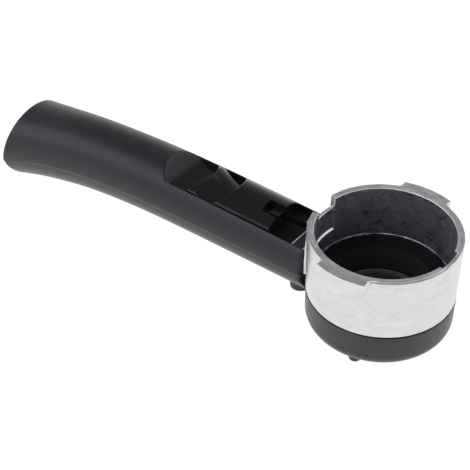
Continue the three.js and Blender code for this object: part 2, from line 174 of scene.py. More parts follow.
def smin(a, b, k):
    """The smaller of two values, blended where they are within k of each other."""
    h = max(k - abs(a - b), 0.0) / k
    return min(a, b) - h * h * k * 0.25


def smax(a, b, k):
    return -smin(-a, -b, k)


def make(name, verts, faces):
    """A linked mesh object, still in millimetres."""
    me = bpy.data.meshes.new(name)
    me.from_pydata([tuple(v) for v in verts], [], faces)
    bm = bmesh.new()
    bm.from_mesh(me)
    bmesh.ops.remove_doubles(bm, verts=bm.verts, dist=2e-4)
    bmesh.ops.dissolve_degenerate(bm, edges=bm.edges, dist=1e-4)
    bmesh.ops.recalc_face_normals(bm, faces=bm.faces)
    big = [f for f in bm.faces if len(f.verts) > 4]
    bmesh.ops.triangulate(bm, faces=big, ngon_method="EAR_CLIP")
    bm.to_mesh(me)
    bm.free()
    ob = bpy.data.objects.new(name, me)
    bpy.context.scene.collection.objects.link(ob)
    return ob


def combine(target, tools, operation):
    """Joins or cuts solids in place; the tools are used up."""
    for tool in tools:
        mod = target.modifiers.new("b", "BOOLEAN")
        mod.operation = operation
        mod.solver = "MANIFOLD"
        mod.object = tool
        deps = bpy.context.evaluated_depsgraph_get()
        me = bpy.data.meshes.new_from_object(target.evaluated_get(deps))
        target.modifiers.clear()
        assert len(me.polygons) > 8, "a boolean lost " + target.name
        old = target.data
        target.data = me
        bpy.data.meshes.remove(old)
        bpy.data.objects.remove(tool)
    return target


def join(target, *tools):
    return combine(target, tools, "UNION")


def cut(target, *tools):
    return combine(target, tools, "DIFFERENCE")


def box(x0, x1, y0, y1, z0, z1):
    corners = [(x, y, z) for x in (x0, x1) for y in (y0, y1) for z in (z0, z1)]
    sides = [(0, 1, 3, 2), (4, 6, 7, 5), (0, 4, 5, 1), (2, 3, 7, 6), (0, 2, 6, 4), (1, 5, 7, 3)]
    return make("tool", corners, sides)


def loft(name, rings):
    """A solid through rings of equal length, closed by its first and last ring."""
    n = len(rings[0])
    verts = [p for ring in rings for p in ring]
    faces = []
    for i in range(len(rings) - 1):
        for k in range(n):
            a = i * n + k
            b = i * n + (k + 1) % n
            faces.append((a, b, b + n, a + n))
    faces.append(tuple(range(n)))
    faces.append(tuple(range((len(rings) - 1) * n, len(rings) * n)))
    return make(name, verts, faces)


def loop(name, rings, skip=()):
    """A solid through rings that follow each other all the way round an axis; skip names
    the outline's edges that lie on the axis."""
    n = len(rings[0])
    verts = [p for ring in rings for p in ring]
    faces = []
    for i in range(len(rings)):
        j = (i + 1) % len(rings)
        for k in range(n):
            if k not in skip:
                m = (k + 1) % n
                faces.append((i * n + k, j * n + k, j * n + m, i * n + m))
    return make(name, verts, faces)


def fillet(points, radii, n=4):
    """A closed 2-D outline with each corner rounded; always n + 1 points to a corner."""
    out = []
    count = len(points)
    for i in range(count):
        p = Vector(points[i])
        a = Vector(points[i - 1]) - p
        b = Vector(points[(i + 1) % count]) - p
        la, lb = a.length, b.length
        r = radii[i]
        if r <= 0:
            out.append((p.x, p.y))
            continue
        if la < 1e-5 or lb < 1e-5:
            out.extend([(p.x, p.y)] * (n + 1))
            continue
        a /= la
        b /= lb
        cosine = clamp(a.dot(b), -1, 1)
        half = math.acos(cosine) / 2
        if half > math.pi / 2 - 0.02 or half < 0.05:
            out.extend([(p.x, p.y)] * (n + 1))
            continue
        reach = min(r / math.tan(half), 0.45 * la, 0.45 * lb)
        r = reach * math.tan(half)
        bis = (a + b).normalized()
        c = p + bis * (r / math.sin(half))
        s = p + a * reach - c
        e = p + b * reach - c
        turn = math.atan2(s.x * e.y - s.y * e.x, s.dot(e))
        for k in range(n + 1):
            t = turn * k / n
            out.append((
                c.x + s.x * math.cos(t) - s.y * math.sin(t),
                c.y + s.x * math.sin(t) + s.y * math.cos(t),
            ))
    return out


def rounded(corners, n=4):
    """The same from (x, y, radius) corners."""
    return fillet([(x, y) for x, y, _ in corners], [r for _, _, r in corners], n)


def turned(name, outline, sides=128):
    """A closed (radius, z) outline turned about the Z axis."""
    rings = []
    for k in range(sides):
        a = 2 * math.pi * k / sides
        rings.append([(r * math.cos(a), r * math.sin(a), z) for r, z in outline])
    n = len(outline)
    on_axis = [r < 1e-6 for r, _ in outline]
    skip = [k for k in range(n) if on_axis[k] and on_axis[(k + 1) % n]]
    return loop(name, rings, skip)


def shift(ob, x=0.0, y=0.0):
    for v in ob.data.vertices:
        v.co.x += x
        v.co.y += y
    return ob


def post(x, y, r, z0, z1, sides=48):
    """An upright cylinder."""
    return shift(turned("tool", [(0, z0), (r, z0), (r, z1), (0, z1)], sides), x, y)


def along_x(ob, z):
    """Turns a solid made about the Z axis so that its axis lies along X at height z."""
    for v in ob.data.vertices:
        c = v.co.copy()
        v.co = Vector((c.z, c.y, z - c.x))
    return ob


def finish_piece(ob, name, node, body, material):
    """Scales to metres, shades, attaches the piece to its body and hides the CAD part it stands
    for.
    """
    ob.name = name
    ob.data.name = name
    bm = bmesh.new()
    bm.from_mesh(ob.data)
    bmesh.ops.remove_doubles(bm, verts=bm.verts, dist=1e-3)
    bmesh.ops.dissolve_degenerate(bm, edges=bm.edges, dist=5e-4)
    loose = [v for v in bm.verts if not v.link_faces]
    bmesh.ops.delete(bm, geom=loose, context="VERTS")
    bmesh.ops.recalc_face_normals(bm, faces=bm.faces)
    bmesh.ops.scale(bm, vec=(MM, MM, MM), verts=bm.verts)
    for f in bm.faces:
        f.smooth = True
    bm.to_mesh(ob.data)
    bm.free()
    ob.data.set_sharp_from_angle(angle=SHARP_ANGLE)
    ob.data.materials.clear()
    ob.data.materials.append(material)
    weigh = ob.modifiers.new("weigh", "WEIGHTED_NORMAL")
    weigh.keep_sharp = True
    weigh.weight = 90
    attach(ob, body)
    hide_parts(node)
    return ob


# ---------------------------------------------------------------- handle outline
def station_tangents(column):
    out = []
    for i in range(len(STATIONS)):
        lo = max(i - 1, 0)
        hi = min(i + 1, len(STATIONS) - 1)
        rise = STATIONS[hi][column] - STATIONS[lo][column]
        out.append(rise / (STATIONS[hi][0] - STATIONS[lo][0]))
    return out


TANGENTS = {1: station_tangents(1), 2: station_tangents(2)}


def handle_at(x):
    """Centre height and radius of the handle at x."""
    i = 0
    while i < len(STATIONS) - 2 and x < STATIONS[i + 1][0]:
        i += 1
    x0, x1 = STATIONS[i][0], STATIONS[i + 1][0]
    h = x1 - x0
    t = (x - x0) / h
    got = []
    for c in (1, 2):
        a, b = STATIONS[i][c], STATIONS[i + 1][c]
        ta, tb = TANGENTS[c][i] * h, TANGENTS[c][i + 1] * h
        got.append(
            a * (2 * t**3 - 3 * t**2 + 1) + ta * (t**3 - 2 * t**2 + t)
            + b * (3 * t**2 - 2 * t**3) + tb * (t**3 - t**2)
        )
    return got


def seam_at(x):
    """Height of the parting line, which falls away towards the end."""
    end = max(0.0, SEAM_FALL_X - x)
    return handle_at(x)[0] - SEAM_DROP - SEAM_FALL * end * end


def round_top(x, y, inset=0.0):
    z, r = handle_at(x)
    return z + math.sqrt(max((r - inset) ** 2 - y * y, 0.01))


def lean_at(x):
    return END_TILT * smooth(150, 192, -x)


def place(x, outline):
    """Puts a (y, z) outline at station x, leaning as the end face does."""
    z, _ = handle_at(x)
    lean = lean_at(x)
    return [(x + lean * (q - z), p, q) for p, q in outline]


def channel_cut_z(x):
    """Height of the channel floor and of the thumb scoop's ramp."""
    if x > CHANNEL_REAR_X:
        return CHANNEL_FLOOR_Z
    s = (CHANNEL_REAR_X - x) / SCOOP_R
    if s < math.sin(SCOOP_TIP):
        return CHANNEL_FLOOR_Z + 1 + SCOOP_R * (1 - math.sqrt(1 - s * s))
    top = CHANNEL_FLOOR_Z + 1 + SCOOP_R * (1 - math.cos(SCOOP_TIP))
    return top + (s - math.sin(SCOOP_TIP)) * SCOOP_R * math.tan(SCOOP_TIP)


def upper_outline(x, inset):
    """The upper shell's section: hem, side and rounded lip on each side, and the channel's
    floor or the handle's crown between them."""
    z, r = handle_at(x)
    r -= inset
    seam = seam_at(x) + SEAM_HALF
    low = math.acos(clamp((seam - z) / r, -1, 1))
    edge = math.asin(clamp(CHANNEL_HALF_W / r, -1, 1))
    cut_z = channel_cut_z(x)
    half = CHANNEL_HALF_W
    wall_top = z + math.sqrt(r * r - half * half)
    steps = 30
    left = []
    for k in range(steps + 1):
        a = -mix(low, edge, k / steps)
        left.append((r * math.sin(a), z + r * math.cos(a)))
    floor = []
    for k in range(33):
        y = mix(-half, half, k / 32)
        surface = z + math.sqrt(max(r * r - y * y, 0.01))
        floor.append((y, smin(surface, cut_z, 0.5)))
    foot = min(floor[0][1], wall_top)
    lip = min(0.45, 0.3 * (wall_top - foot))
    a = -edge - lip / r
    left[-1] = (r * math.sin(a), z + r * math.cos(a))
    round_left = []
    for k in range(1, 5):
        t = k / 4 * math.pi / 2
        round_left.append((
            mix(left[-1][0], -half, math.sin(t)),
            mix(wall_top - lip, left[-1][1], math.cos(t)),
        ))
    y0, z0 = left[0]
    hem = []
    for k in range(5):
        t = k / 5 * math.pi / 2
        hem.append((y0 + HEM_R * (1 - math.sin(t)), z0 + HEM_R * (1 - math.cos(t))))
    left[0] = (y0 + 0.005, z0 + HEM_R)
    out = [*hem, *left, *round_left, *floor]
    out += [(-p, q) for p, q in reversed(round_left)]
    out += [(-p, q) for p, q in reversed(left)]
    out += [(-p, q) for p, q in reversed(hem)]
    return out


def upper_stations():
    """Each section's x and inset, closer together round the edges and on the scoop."""
    xs = []
    for k in range(8):
        a = k / 7 * math.pi / 2
        xs.append((NECK_X - NECK_EDGE * (1 - math.cos(a)), NECK_EDGE * (1 - math.sin(a))))
    x = NECK_X - NECK_EDGE - 0.8
    while x > CHANNEL_REAR_X:
        xs.append((x, 0.0))
        x -= 2.0
    xs += [(CHANNEL_REAR_X + 0.01, 0.0), (CHANNEL_REAR_X - 0.01, 0.0)]
    x = CHANNEL_REAR_X - 0.8
    for end, step in ((-100.5, 0.8), (-110.5, 0.25), (HANDLE_END_X + 1.2, 1.6)):
        while x > end:
            xs.append((x, 0.0))
            x -= step
    for k in range(6):
        a = k / 5 * math.pi / 2
        xs.append((HANDLE_END_X + END_EDGE * (1 - math.sin(a)), END_EDGE * (1 - math.cos(a))))
    return xs


def lower_ring(x, turn=None, front=None):
    """One ring of the lower shell; turn runs round the end's edge, which is wider below,
    and front runs round the neck's edge, which is wider above."""
    seam = seam_at(x) - SEAM_HALF
    z, r = handle_at(x)
    low = math.acos(clamp((seam - z) / r, -1, 1))
    ring = []
    steps = 84
    for k in range(steps + 1):
        a = mix(low, 2 * math.pi - low, k / steps)
        px, inset = x, 0.0
        if turn is not None:
            edge = 0.6 + 5.4 * smooth(0.1, 0.9, -math.cos(a))
            px = LOWER_END_X + edge * (1 - math.sin(turn))
            inset = edge * (1 - math.cos(turn))
        if front is not None:
            above = smooth(-0.44, -0.30, math.cos(a))
            edge = mix(0.3, NECK_EDGE, above)
            nose = mix(HANDLE_FRONT_X, NECK_X, above)
            px = nose - edge * (1 - math.cos(front))
            inset = edge * (1 - math.sin(front))
        cz, cr = handle_at(px)
        cr -= inset
        ring.append((px + lean_at(px) * cr * math.cos(a), cr * math.sin(a),
                     cz + cr * math.cos(a)))
    # the chamfer along the parting line
    (xa, ya, za), (xb, yb, zb) = ring[0], ring[-1]
    ring[0] = (xa, ya + CHAMFER_BEAD, za - CHAMFER_H)
    ring[-1] = (xb, yb - CHAMFER_BEAD, zb - CHAMFER_H)
    return [(xa, ya - CHAMFER_W, za), *ring, (xb, yb + CHAMFER_W, zb)]


def lower_rings():
    rings = [lower_ring(HANDLE_FRONT_X, None, k / 7 * math.pi / 2) for k in range(8)]
    x = NECK_X - NECK_EDGE - 1.2
    while x > LOWER_END_X + 7:
        rings.append(lower_ring(x))
        x -= 2.2
    for k in range(15):
        rings.append(lower_ring(LOWER_END_X, k / 14 * math.pi / 2))
    return rings


def cavity(upper):
    """Inside of one shell."""
    rings = []
    x = HANDLE_FRONT_X - 4
    while x > HANDLE_END_X + 7.5:
        z, r = handle_at(x)
        r -= HANDLE_WALL
        top = CHANNEL_FLOOR_Z - 2.0 if x > SCOOP_END_X else z + r
        ring = []
        for k in range(48):
            a = 2 * math.pi * k / 48
            q = z + r * math.cos(a)
            if upper:
                q = max(min(q, top), seam_at(x) - 3)
            else:
                q = min(q, seam_at(x) + 3)
            ring.append((x, r * math.sin(a), q))
        rings.append(ring)
        x -= 3.0 if abs(x - SCOOP_END_X) > 3.1 else 1.0
    return loft("tool", rings)


# ---------------------------------------------------------------- materials
def nodes_of(material):
    material.use_nodes = True
    tree = material.node_tree
    shader = tree.nodes["Principled BSDF"]
    return tree, shader


def math_node(tree, op, a, b=0.5):
    n = tree.nodes.new("ShaderNodeMath")
    n.operation = op
    for socket, v in zip(n.inputs, (a, b)):
        if isinstance(v, (int, float)):
            socket.default_value = v
        else:
            tree.links.new(v, socket)
    return n.outputs[0]


def plus(tree, a, b):
    return math_node(tree, "ADD", a, b)


def times(tree, a, b):
    return math_node(tree, "MULTIPLY", a, b)


def weighted(tree, a, part_a, b, part_b):
    return plus(tree, times(tree, a, part_a), times(tree, b, part_b))


def distance(tree, a, b):
    return math_node(tree, "SQRT", plus(tree, times(tree, a, a), times(tree, b, b)))


def within(tree, *tests):
    """1 where every (length, comparison, limit in millimetres) holds, and 0 elsewhere."""
    masks = [math_node(tree, comparison, length, limit * MM)
             for length, comparison, limit in tests]
    mask = masks[0]
    for other in masks[1:]:
        mask = times(tree, mask, other)
    return mask


def ramp(tree, source, stops):
    n = tree.nodes.new("ShaderNodeValToRGB")
    while len(n.color_ramp.elements) < len(stops):
        n.color_ramp.elements.new(0.5)
    for e, (pos, v) in zip(n.color_ramp.elements, stops):
        e.position = pos
        e.color = (v, v, v, 1) if isinstance(v, (int, float)) else (*v, 1)
    tree.links.new(source, n.inputs[0])
    return n.outputs[0]


def noise(tree, vector, scale, detail=3.0, rough=0.55, distortion=0.0):
    n = tree.nodes.new("ShaderNodeTexNoise")
    n.inputs["Scale"].default_value = scale
    n.inputs["Detail"].default_value = detail
    n.inputs["Roughness"].default_value = rough
    n.inputs["Distortion"].default_value = distortion
    tree.links.new(vector, n.inputs["Vector"])
    return n.outputs["Fac"]


def mapping(tree, vector, scale, location=(0, 0, 0)):
    n = tree.nodes.new("ShaderNodeMapping")
    n.inputs["Scale"].default_value = scale
    n.inputs["Location"].default_value = location
    tree.links.new(vector, n.inputs["Vector"])
    return n.outputs[0]


def blend_colour(tree, fac, a, b):
    n = tree.nodes.new("ShaderNodeMix")
    n.data_type = "RGBA"
    for socket, v in ((n.inputs[0], fac), (n.inputs[6], a), (n.inputs[7], b)):
        if isinstance(v, (int, float)):
            socket.default_value = v
        elif isinstance(v, tuple):
            socket.default_value = (*v, 1)
        else:
            tree.links.new(v, socket)
    return n.outputs[2]


def bump(tree, height, strength, distance, normal=None):
    n = tree.nodes.new("ShaderNodeBump")
    n.inputs["Strength"].default_value = strength
    n.inputs["Distance"].default_value = distance
    tree.links.new(height, n.inputs["Height"])
    if normal is not None:
        tree.links.new(normal, n.inputs["Normal"])
    return n.outputs[0]


def coordinates(tree):
    return tree.nodes.new("ShaderNodeTexCoord").outputs["Object"]


def geometry(tree, name):
    return tree.nodes.new("ShaderNodeNewGeometry").outputs[name]


def split(tree, vector):
    n = tree.nodes.new("ShaderNodeSeparateXYZ")
    tree.links.new(vector, n.inputs[0])
    return n.outputs[0], n.outputs[1], n.outputs[2]


def around(tree, x, y, z, radius):
    """Coordinates that run round the collar, for the tool marks and stains."""
    polar = tree.nodes.new("ShaderNodeCombineXYZ")
    tree.links.new(times(tree, math_node(tree, "ARCTAN2", y, x), 0.03), polar.inputs[0])
    tree.links.new(radius, polar.inputs[1])
    tree.links.new(z, polar.inputs[2])
    return polar.outputs[0]


def bore_colour(tree, way, z, facing_up):
    """Stained metal, with bright nicks low down in places, a painted highlight on what faces
    upwards, and a foot worn in places.
    """
    smear = noise(tree, mapping(tree, way, (80, 90, 70), (0.3, 0, 0)), 1.7, 6.0, 0.70, 1.8)
    drip = noise(tree, mapping(tree, way, (60, 260, 700), (0.7, 0, 0.2)), 1.6, 4.0, 0.65, 0.5)
    speck = noise(tree, mapping(tree, way, (420, 420, 420)), 1.9, 2.0, 0.5)
    patch = noise(tree, mapping(tree, way, (60, 60, 60), (0.1, 0, 0.4)), 1.3, 1.0, 0.5)
    wear = noise(tree, mapping(tree, way, (140, 100, 100)), 1.6, 4.0, 0.7)
    bore = ramp(tree, weighted(tree, smear, 0.7, drip, 0.3),
                [(0.37, (0.14, 0.14, 0.17)), (0.45, (0.50, 0.50, 0.57)),
                 (0.58, (0.62, 0.62, 0.71)), (0.66, (0.86, 0.86, 0.93))])
    low = times(tree, ramp(tree, times(tree, z, 15.0), [(0.50, 1.0), (0.70, 0.0)]),
                ramp(tree, patch, [(0.50, 0.0), (0.56, 1.0)]))
    nick = times(tree, ramp(tree, speck, [(0.62, 0.0), (0.66, 1.0)]), low)
    bore = blend_colour(tree, nick, bore, (1.0, 1.0, 1.0))
    # painted highlight: what faces upwards in the bore is painted near-white
    ledge = ramp(tree, facing_up, [(0.45, 0.0), (0.65, 1.0)])
    bore = blend_colour(tree, ledge, bore, (0.95, 0.95, 1.0))
    foot = within(tree, (z, "LESS_THAN", WEB_TOP + 2.3))
    worn = ramp(tree, wear, [(0.42, (0.20, 0.20, 0.23)), (0.62, (0.75, 0.75, 0.82))])
    return blend_colour(tree, foot, bore, worn)


def cast_aluminium():
    material = bpy.data.materials.new("cast_aluminium")
    tree, shader = nodes_of(material)
    shader.inputs["Metallic"].default_value = 1.0
    pos = coordinates(tree)
    x, y, z = split(tree, pos)
    _, _, facing_up = split(tree, geometry(tree, "Normal"))
    radius = distance(tree, x, y)
    way = around(tree, x, y, z, radius)
    streak = noise(tree, mapping(tree, way, (60, 900, 900)), 6.0, 3.0, 0.6)
    fine = noise(tree, mapping(tree, way, (140, 2600, 2600)), 2.0, 2.0, 0.6)
    grain = noise(tree, pos, 2600.0, 2.0, 0.6)
    blotch = noise(tree, mapping(tree, way, (70, 100, 130)), 1.6, 5.0, 0.65, 0.8)
    # outside wall: pale, with faint marks that run round it
    wall = ramp(tree, weighted(tree, blotch, 0.6, streak, 0.4),
                [(0.36, (0.60, 0.60, 0.605)), (0.64, (0.74, 0.74, 0.745))])
    inside = ramp(tree, times(tree, radius, 30.0), [(0.885, 1.0), (0.888, 0.0)])
    colour = blend_colour(tree, inside, wall, bore_colour(tree, way, z, facing_up))
    rim = ramp(tree, weighted(tree, fine, 0.5, blotch, 0.5),
               [(0.38, (0.45, 0.45, 0.465)), (0.62, (0.82, 0.82, 0.84))])
    up = ramp(tree, facing_up, [(0.80, 0.0), (0.95, 1.0)])
    colour = blend_colour(tree, up, colour, rim)
    # painted shade: the shelf behind the pad lies in the cavity's shade and is painted dark, all
    # but its edge
    along = ramp(tree, times(tree, plus(tree, x, 0.04), 100.0),
                 [(0.385, 0.0), (0.395, 1.0), (0.86, 1.0), (0.88, 0.0)])
    height = ramp(tree, times(tree, z, 20.0),
                  [(0.70, 0.0), (0.72, 1.0), (0.81, 1.0), (0.815, 0.0)])
    colour = blend_colour(tree, times(tree, along, height), colour, (0.055, 0.055, 0.065))
    tree.links.new(colour, shader.inputs["Base Color"])
    uneven = plus(tree, weighted(tree, fine, 0.16, blotch, 0.18), times(tree, inside, 0.12))
    tree.links.new(plus(tree, uneven, 0.14), shader.inputs["Roughness"])
    surface = bump(tree, grain, 0.15, 0.00012)
    surface = bump(tree, blotch, 0.35, 0.0005, surface)
    surface = bump(tree, fine, 0.30, 0.00008, surface)
    tree.links.new(surface, shader.inputs["Normal"])
    return material


def handle_zones(tree, shader, pos, colour, uneven):
    """Painted dark as shade and dull in the open front of the channel, smooth in the channel and
    scoop.
    """
    x, y, z = split(tree, pos)
    cavity_shade = within(tree, (math_node(tree, "ABSOLUTE", y), "LESS_THAN", CHANNEL_HALF_W + 0.1),
                   (x, "GREATER_THAN", SLIDE_FRONT_X - 0.6), (x, "LESS_THAN", -28.0),
                   (z, "GREATER_THAN", 30.0))
    above_middle = math_node(tree, "SUBTRACT", z, CHANNEL_MIDDLE_Z * MM)
    scooped = within(tree, (distance(tree, y, above_middle), "LESS_THAN", SCOOPED_R),
                     (x, "GREATER_THAN", SCOOP_END_X - 0.5), (x, "LESS_THAN", -50.0),
                     (z, "GREATER_THAN", CHANNEL_FLOOR_Z - 0.5))
    # painted shade: the open front of the channel is painted near-black
    colour = blend_colour(tree, cavity_shade, colour, (0.003, 0.003, 0.003))
    colour = blend_colour(tree, scooped, colour, (0.0035, 0.0035, 0.0042))
    shine = shader.inputs["Specular IOR Level"]
    dull = plus(tree, times(tree, scooped, 0.5), cavity_shade)
    tree.links.new(ramp(tree, dull, [(0.0, shine.default_value), (1.0, 0.12)]), shine)
    return colour, math_node(tree, "SUBTRACT", uneven, times(tree, scooped, 0.20))


def slide_zones(tree, shader, pos, colour, uneven):
    """The grips' edges are polished by the thumb."""
    x, _, _ = split(tree, pos)
    edge = times(tree, geometry(tree, "Pointiness"), within(tree, (x, "LESS_THAN", -64.0)))
    shine = shader.inputs["Specular IOR Level"]
    tree.links.new(ramp(tree, edge, [(0.515, shine.default_value), (0.56, 1.0)]), shine)
    return colour, uneven


def dish_zones(tree, shader, pos, colour, uneven):
    """Paler below the flange, with a rubbed ring on the floor."""
    x, y, z = split(tree, pos)
    out = distance(tree, x, y)
    deep = within(tree, (z, "LESS_THAN", WEB_TOP + 0.5))
    inner = within(tree, (out, "LESS_THAN", RING_OUT_R))
    ring = within(tree, (out, "LESS_THAN", RING_OUT_R + 0.1),
                  (out, "GREATER_THAN", RING_IN_R - 0.1))
    colour = blend_colour(tree, deep, colour, (0.032, 0.032, 0.033))
    colour = blend_colour(tree, inner, colour, (0.050, 0.050, 0.052))
    colour = blend_colour(tree, ring, colour, (0.15, 0.15, 0.155))
    return colour, uneven


def plastic(name, dark, light, rough, spread, grain, shine=0.5, tint=(1, 1, 1), sheen=0.0,
            zones=None):
    """Moulded plastic; grain is the scale and strength of its texture."""
    material = bpy.data.materials.new(name)
    tree, shader = nodes_of(material)
    grain_scale, grain_strength = grain
    pos = coordinates(tree)
    cloud = noise(tree, pos, 60.0, 4.0, 0.6)
    grit = noise(tree, pos, grain_scale, 2.0, 0.5)
    scuff = noise(tree, mapping(tree, pos, (1.0, 6.0, 6.0)), 140.0, 4.0, 0.65)
    colour = ramp(tree, cloud, [(0.3, dark), (0.7, light)])
    uneven = weighted(tree, scuff, spread, grit, spread * 0.5)
    shader.inputs["IOR"].default_value = 1.5
    shader.inputs["Specular IOR Level"].default_value = shine
    shader.inputs["Specular Tint"].default_value = (*tint, 1)
    shader.inputs["Sheen Weight"].default_value = sheen
    shader.inputs["Sheen Roughness"].default_value = 0.4
    shader.inputs["Sheen Tint"].default_value = (1.0, 0.97, 0.96, 1)
    if zones:
        colour, uneven = zones(tree, shader, pos, colour, uneven)
    tree.links.new(colour, shader.inputs["Base Color"])
    tree.links.new(plus(tree, uneven, rough - spread * 0.75), shader.inputs["Roughness"])
    tree.links.new(bump(tree, grit, grain_strength, 0.00006), shader.inputs["Normal"])
    return material


def steel(name, base, rough):
    material = bpy.data.materials.new(name)
    tree, shader = nodes_of(material)
    shader.inputs["Metallic"].default_value = 1.0
    pos = coordinates(tree)
    fine = noise(tree, mapping(tree, pos, (1, 1, 0.2)), 1800.0, 2.0, 0.5)
    cloud = noise(tree, pos, 220.0, 3.0, 0.6)
    dark = tuple(c * 0.8 for c in base)
    tree.links.new(ramp(tree, cloud, [(0.35, dark), (0.65, base)]), shader.inputs["Base Color"])
    tree.links.new(plus(tree, times(tree, fine, 0.2), rough - 0.1), shader.inputs["Roughness"])
    tree.links.new(bump(tree, fine, 0.1, 0.00005), shader.inputs["Normal"])
    return material


ALU = cast_aluminium()
HANDLE = plastic("handle_plastic", (0.0065, 0.0063, 0.0085), (0.0088, 0.0086, 0.0115),
                 0.40, 0.10, (2200.0, 0.18), 0.45, (0.95, 0.92, 1.0), 0.10, handle_zones)
# painted highlight: a pale plastic for the lower shell's top edge along the parting line
SEAM_HIGHLIGHT = plastic("seam_highlight_plastic", (0.055, 0.054, 0.057), (0.10, 0.098, 0.102),
                    0.45, 0.10, (2200.0, 0.1))
SLIDE = plastic("slide_plastic", (0.004, 0.004, 0.005), (0.0055, 0.0055, 0.0065),
                0.20, 0.06, (2600.0, 0.05), 0.28, (0.97, 0.95, 1.0), 0.0, slide_zones)
BOWL = plastic("bowl_plastic", (0.013, 0.0127, 0.0132), (0.018, 0.0172, 0.0178),
               0.44, 0.10, (1800.0, 0.22), 0.48, (1.0, 0.97, 0.98), 0.15)
DISH = plastic("dish_plastic", (0.004, 0.004, 0.004), (0.0055, 0.0055, 0.0055),
               0.75, 0.1, (1800.0, 0.15), 0.15, zones=dish_zones)
RUBBER = plastic("gasket_rubber", (0.008, 0.008, 0.008), (0.012, 0.012, 0.012),
                 0.8, 0.1, (900.0, 0.3))
STEEL = steel("screw_steel", (0.52, 0.52, 0.53), 0.34)
BLACK_STEEL = steel("black_steel", (0.006, 0.006, 0.006), 0.75)


# ---------------------------------------------------------------- collar casting
def collar_angles():
    """Degrees of the collar's sections: evenly round it, and close together at each edge."""
    marks = [middle + end for middle in LUG_ANGLES for end in (-22, -18.5, 18.5, 22)]
    marks += [180 - NOTCH_HALF, 180 + NOTCH_HALF, KEYWAY_HALF, 360 - KEYWAY_HALF]
    pad_in = math.degrees(math.asin(THIN_HALF_W / THIN_R))
    pad_out = math.degrees(math.atan2(PAD_HALF_W, -PAD_X_TOP))
    marks += [180 - pad_in, 180 + pad_in, 180 - pad_out, 180 + pad_out]
    angles = {round(k * 1.5, 4) for k in range(240)}
    for mark in marks:
        angles.update(round((mark + k * 0.12) % 360, 4) for k in range(-8, 9))
    return sorted(angles)


def lug_reach(a):
    """0 on the plain wall, 1 on a lug; the ends slope a little."""
    d = min(abs(a - middle) for middle in LUG_ANGLES)
    t = clamp((LUG_HALF - d) / LUG_SLOPE)
    return t * t * (3 - 2 * t) * 0.5 + t * 0.5


def gate(a, middle, half, soft=0.7):
    """1 within half of the middle angle, and 0 outside, with a soft edge."""
    d = abs((a - middle + 180) % 360 - 180)
    return smooth(half + soft / 2, half - soft / 2, d)


def collar_outline(a):
    """The collar's (radius, z) section at a degrees, always with as many points."""
    d = abs(a - 180)
    pad_in = math.degrees(math.asin(THIN_HALF_W / THIN_R))
    foot_r = COLLAR_R - COLLAR_DRAFT
    lug = mix(COLLAR_R - 0.03, LUG_R, lug_reach(a))
    lug_z = RIM_Z - LUG_T

    def wall(z):
        t = (z - COLLAR_FOOT) / (RIM_Z - COLLAR_FOOT)
        plain = mix(foot_r, COLLAR_R, t)
        if d > 40:
            return plain
        x = -mix(PAD_X_FOOT, PAD_X_TOP, t)
        flat = x / math.cos(math.radians(d))
        inside_pad = abs(x * math.tan(math.radians(d))) <= PAD_HALF_W
        return max(plain, flat) if inside_pad else plain

    thin = gate(a, 180, pad_in, 0.5)
    top = mix(RIM_Z, NOTCH_Z, gate(a, 180, NOTCH_HALF))
    groove = gate(a, 180, NOTCH_HALF)
    key = gate(a, 0, KEYWAY_HALF)
    bore = mix(mix(BORE_R, GROOVE_R, groove), KEYWAY_R, key)
    ledge = LEDGE_Z if d < 90 else WEB_TOP + 3
    slope = 0.4 if d < 90 else 0.0
    reach = lug_reach(a)
    shelf_out = mix(wall(SHELF_Z), THIN_R, thin)
    lug_out = mix(wall(lug_z), THIN_R, thin)
    top_out = mix(max(mix(COLLAR_R - 0.03, LUG_R, reach), wall(RIM_Z)), THIN_R, thin)
    lug_low = lug_z if reach == 0 else mix(RIM_Z - 1.4, lug_z, smooth(0.1, 0.9, reach))
    lug_under = min(lug_low, top - 0.5)
    # machined step round the rim between the lugs; the lugs' ends are bevelled
    step = (1 - smooth(0, 0.5, reach)) * gate(a, 320, 32, 3)
    bevel = mix(0.35, 0.0, smooth(0.0, 0.2, reach))
    bevel += 0.9 * (1 - smooth(0.4, 1.0, reach)) * smooth(0, 0.3, reach)
    base = min(top_out, mix(COLLAR_R, THIN_R, thin))
    corners = [
        (WEB_R, COLLAR_FOOT, 0.2),
        (wall(COLLAR_FOOT), COLLAR_FOOT, 0.3),
        (wall(SHELF_Z), SHELF_Z, 0),
        (shelf_out, SHELF_Z, 0),
        (lug_out, lug_under, 0),
        (top_out, lug_under, 0.35),
        (top_out, top - bevel * (1 - thin) - 0.5 * step, 0.3),
        (base - 0.1, top - 0.5 * step, 0.15),
        (base - 0.7, top - 0.5 * step, 0.15),
        (base - 0.72 - 0.28 * step, top, 0.15),
        (bore, top, 0.4),
        (mix(BORE_R, bore, 0.58), ledge + slope * 0.2, 0.2),
        (mix(BORE_R, bore, 0.50), ledge, 0.2),
        (BORE_R, ledge - slope * 1.5, 0.3),
        (BORE_R, WEB_TOP + 2.1, 0.15),
        (BORE_R - 0.15, WEB_TOP + 1.93, 0.15),
        (BORE_R - 0.15, WEB_TOP, 0.1),
        (WEB_R, WEB_TOP, 0.2),
    ]
    return rounded(corners)


